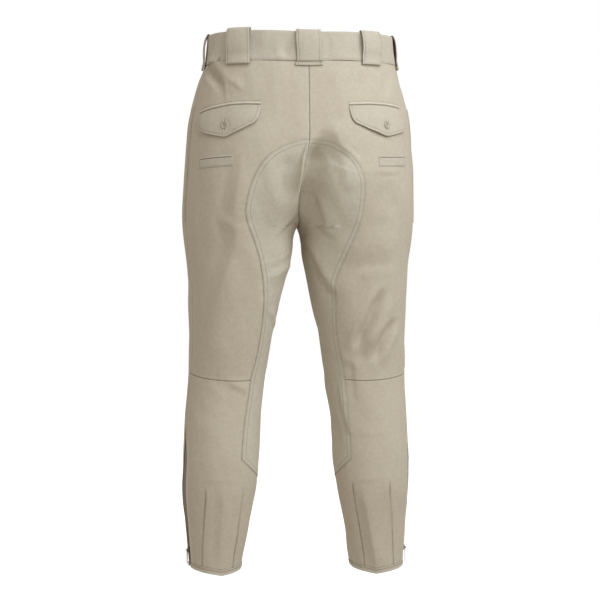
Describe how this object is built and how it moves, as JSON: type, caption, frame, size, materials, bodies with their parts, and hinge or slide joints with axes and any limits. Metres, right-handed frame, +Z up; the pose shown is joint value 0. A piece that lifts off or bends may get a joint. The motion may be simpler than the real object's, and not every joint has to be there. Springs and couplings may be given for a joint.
{
  "type": "motorcycle breeches",
  "caption": "Close-fitting riding breeches in tan twill, with a seat and inner-leg patch, flapped hip pockets, wide belt loops and calf zips, held open as worn.",
  "frame": {"origin": "centre of the waist opening, halfway up the waistband, where the wearer holds the garment", "axes": "+Z up the wearer, +Y toward the wearer's back, +X toward the wearer's left"},
  "size_m": [0.4054, 0.2731, 0.9322],
  "materials": {
    "twill_panel": "matte twill",
    "twill_patch": "matte twill",
    "twill_band": "matte twill",
    "twill_trim": "matte twill",
    "button_resin": "satin",
    "zip_tape": "matte woven tape",
    "zip_metal": "satin, darkened"
  },
  "bodies": {
    "breeches": {"back_lower_left": "twill_panel", "back_lower_right": "twill_panel", "back_upper_left": "twill_panel", "back_upper_right": "twill_panel", "flap_button_left": "button_resin", "flap_button_right": "button_resin", "fly_front": "twill_trim", "front_left": "twill_panel", "front_right": "twill_panel", "hem_left": "twill_trim", "hem_right": "twill_trim", "hip_flap_left": "twill_trim", "hip_flap_right": "twill_trim", "hip_jet_left": "twill_trim", "hip_jet_right": "twill_trim", "loop_back_centre": "twill_trim", "loop_back_left": "twill_trim", "loop_back_right": "twill_trim", "loop_front_left": "twill_trim", "loop_front_right": "twill_trim", "loop_side_left": "twill_trim", "loop_side_right": "twill_trim", "lower_welt_left": "twill_trim", "lower_welt_right": "twill_trim", "seat_patch_left": "twill_patch", "seat_patch_right": "twill_patch", "side_pocket_left": "twill_trim", "side_pocket_right": "twill_trim", "waist_button": "button_resin", "waist_lap": "twill_band", "waistband_left": "twill_band", "waistband_right": "twill_band", "zip_slider_left": "zip_metal", "zip_slider_right": "zip_metal", "zip_tape_left": "zip_tape", "zip_tape_right": "zip_tape"},
    "pull_left": {"zip_pull_left": "zip_metal"},
    "pull_right": {"zip_pull_right": "zip_metal"}
  },
  "joints": [
    {"name": "pull_left_hinge", "type": "hinge", "parent": "breeches", "child": "pull_left", "pos_m": [0.19738, 0.02921, -0.86218], "axis": [0.1031, -0.9947, 0], "range_deg": [0, 150]},
    {"name": "pull_right_hinge", "type": "hinge", "parent": "breeches", "child": "pull_right", "pos_m": [-0.18376, 0.02921, -0.86219], "axis": [0.1031, 0.9947, 0], "range_deg": [0, 150]}
  ]
}
